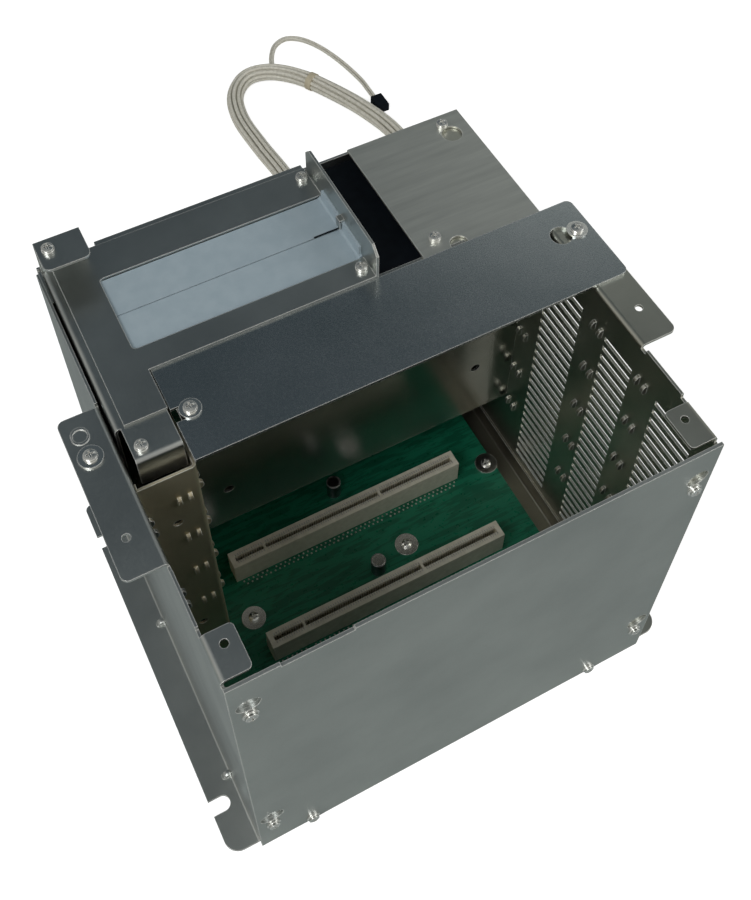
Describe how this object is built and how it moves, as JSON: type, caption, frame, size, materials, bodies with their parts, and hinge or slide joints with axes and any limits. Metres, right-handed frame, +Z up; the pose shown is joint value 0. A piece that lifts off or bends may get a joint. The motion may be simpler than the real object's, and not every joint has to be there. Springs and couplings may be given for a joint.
{
  "type": "card cage",
  "caption": "Open-topped folded-sheet card cage with a backplane board on its floor, a bridging strap and a covered box bay behind.",
  "frame": {"origin": "centre of the underside of the base, midway between the side walls and between panel face and rear wall", "axes": "+X right, +Y back, +Z up"},
  "size_m": [0.2879, 0.4896, 0.2122],
  "materials": {
    "zinc": "zinc plate",
    "blue_zinc": "zinc plate",
    "warm_zinc": "zinc plate",
    "brushed_zinc": "brushed",
    "black_liner": "matte",
    "board_green": "solder mask",
    "connector_ivory": "moulded",
    "capacitor_can": "satin",
    "fastener": "plated",
    "wire_white": "satin"
  },
  "bodies": {
    "root": {"base_tray": "zinc", "left_side_wall": "zinc", "right_side_wall": "zinc", "front_panel": "zinc", "rear_wall": "zinc", "rear_tab_bracket": "zinc", "rear_box_side": "zinc", "left_column": "warm_zinc", "bay_front_wall": "zinc", "top_plate": "zinc", "right_rear_plate": "brushed_zinc", "cross_strap": "zinc", "slot_blank_front": "blue_zinc", "slot_blank_rear": "blue_zinc", "bay_liner": "black_liner", "backplane_board": "board_green", "board_standoffs": "fastener", "connector_front": "connector_ivory", "connector_rear": "connector_ivory", "capacitors": "capacitor_can", "board_screws": "fastener", "panel_screws": "fastener", "strap_screws": "fastener", "ear_screw": "fastener", "plate_screws": "fastener", "wire_bundle": "wire_white", "thin_wire_loop": "wire_white", "loop_plug": "black_liner"}
  },
  "joints": []
}
